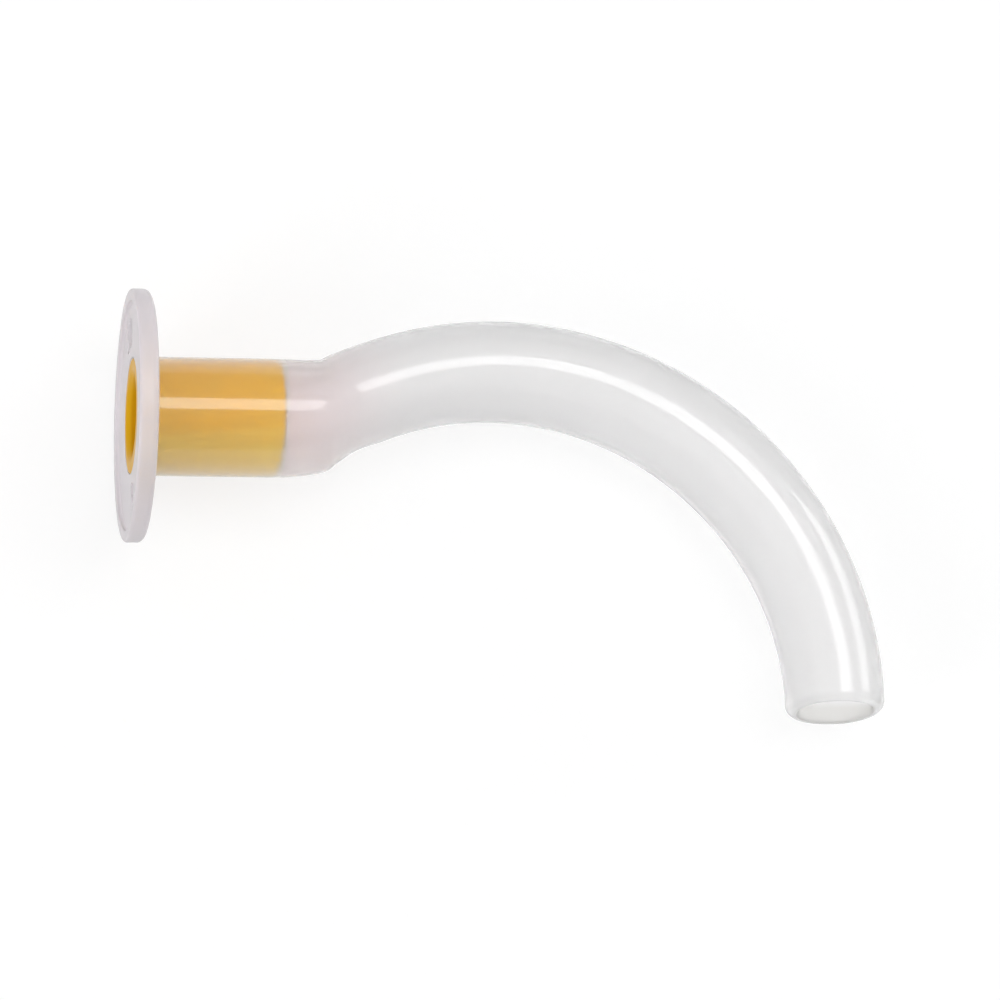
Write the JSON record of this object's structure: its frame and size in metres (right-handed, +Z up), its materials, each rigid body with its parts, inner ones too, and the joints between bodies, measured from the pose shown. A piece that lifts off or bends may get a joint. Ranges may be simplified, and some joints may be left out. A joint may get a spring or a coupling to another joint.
{
  "type": "oropharyngeal airway",
  "caption": "Curved oval airway tube with an oval mouth flange, a straight bite section lined with a stiff coloured sleeve, and a rounded open tip.",
  "frame": {"origin": "middle of the bounding box at the surface that the airway lies on", "axes": "+X along the bite section from the flange towards the throat, +Y to the outside of the curve, +Z up off the surface, with the airway lying on its side as it comes to rest"},
  "size_m": [0.0964, 0.0528, 0.037],
  "materials": {
    "translucent_moulding": "translucent low-density polyethylene with a soft gloss",
    "coloured_sleeve": "opaque yellow-orange polypropylene"
  },
  "bodies": {
    "root": {"airway_body": "translucent_moulding", "bite_block": "coloured_sleeve"}
  },
  "joints": []
}
